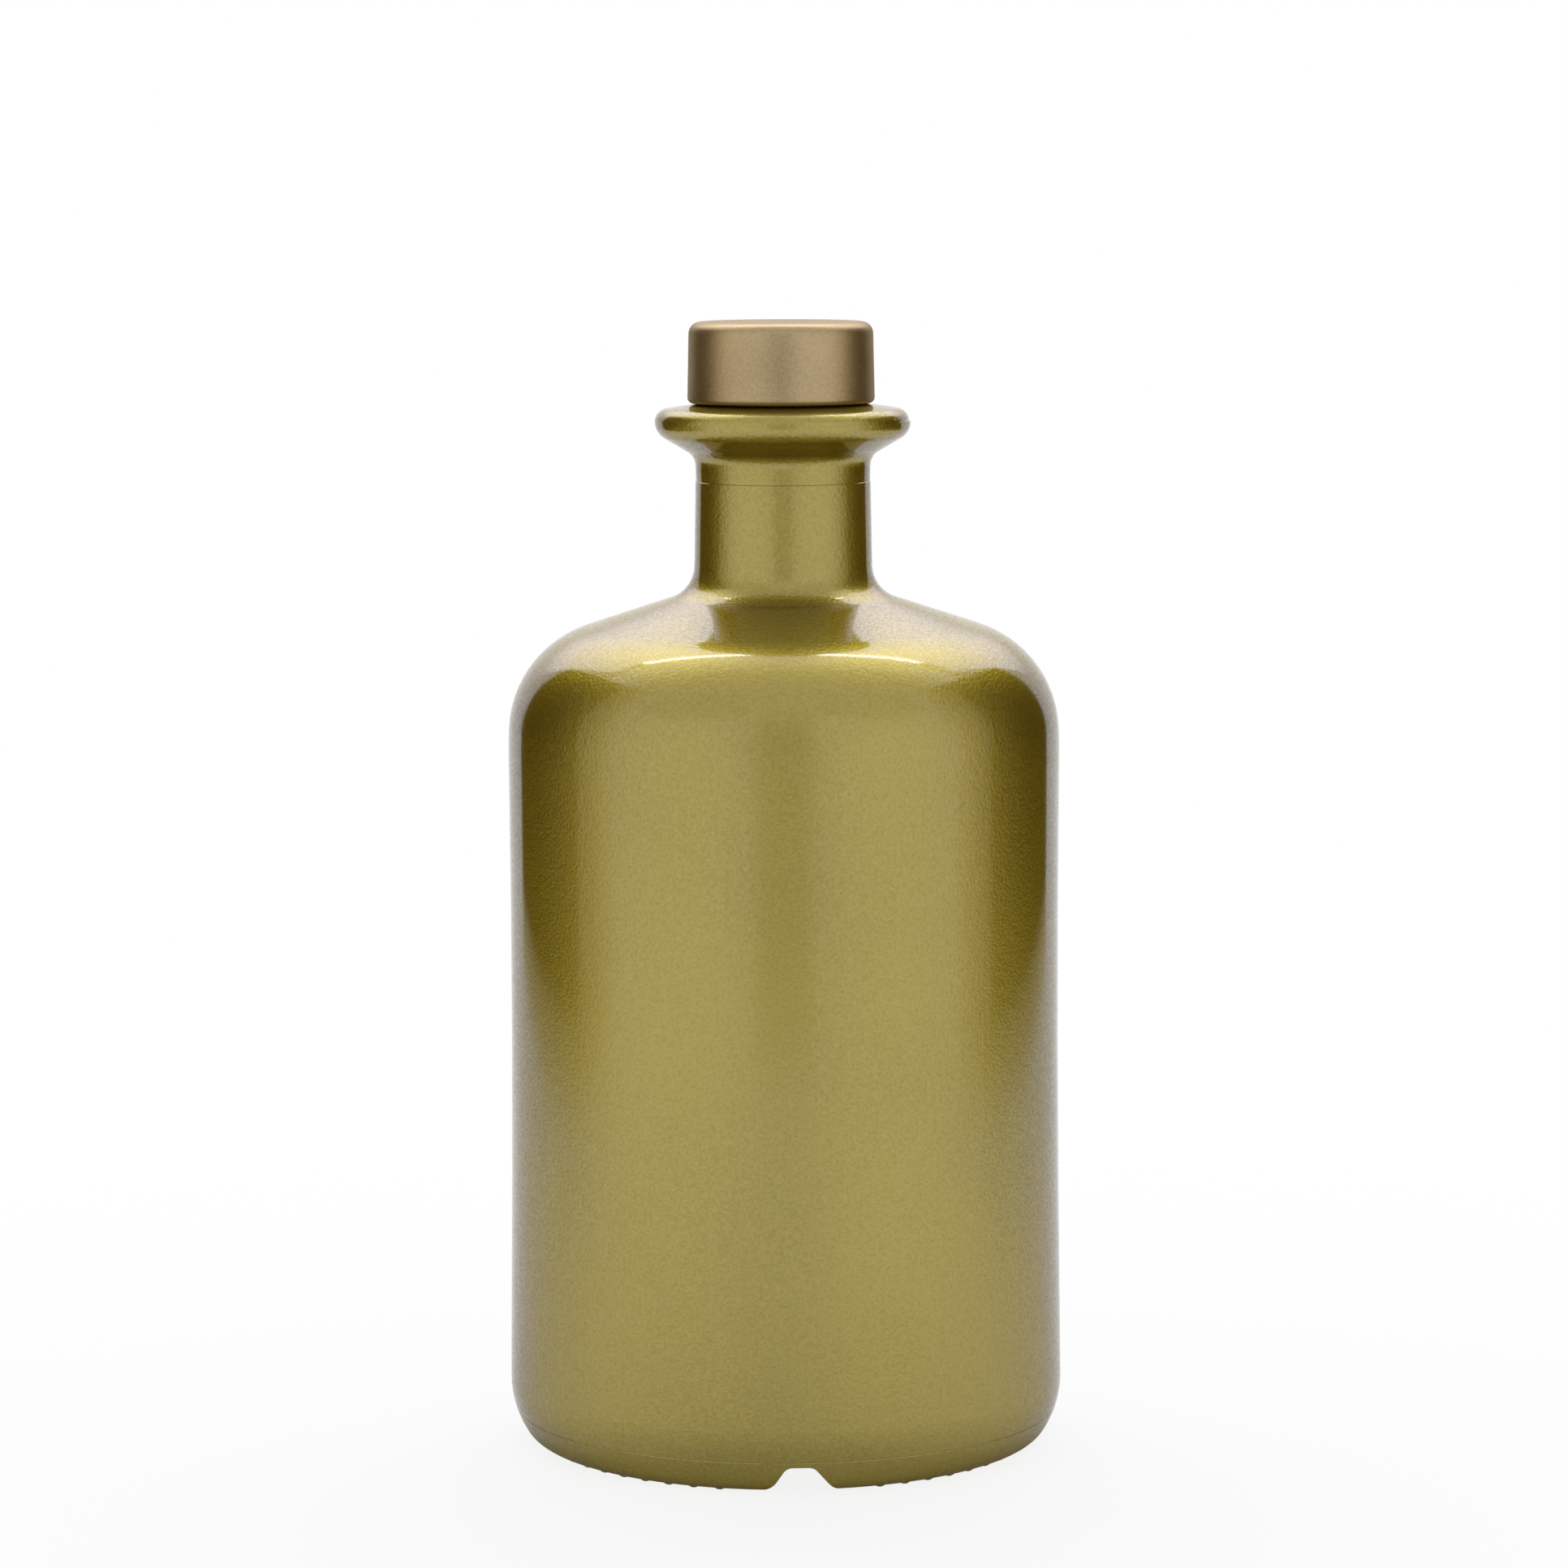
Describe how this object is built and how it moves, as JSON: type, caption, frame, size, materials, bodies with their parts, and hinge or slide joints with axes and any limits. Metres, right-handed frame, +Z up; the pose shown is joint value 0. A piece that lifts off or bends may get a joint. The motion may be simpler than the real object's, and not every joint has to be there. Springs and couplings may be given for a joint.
{
  "type": "capped glass bottle",
  "caption": "Shut round-shouldered apothecary bottle for liquid lecithin, opaque gold-olive metallic lacquer on glass, flared lip and satin metal-headed stopper.",
  "frame": {"origin": "centre of the circle the bottle stands on, at the level of its knurls", "axes": "+Z up the neck, -Y the front, +X to the right seen from the front"},
  "size_m": [0.084, 0.084, 0.17],
  "materials": {
    "lacquered_glass": "opaque gold-olive metallic lacquer with fine flake, glossy",
    "satin_metal": "bronze-beige anodised, satin"
  },
  "bodies": {
    "root": {"bottle": "lacquered_glass", "stopper_head": "satin_metal"}
  },
  "joints": []
}
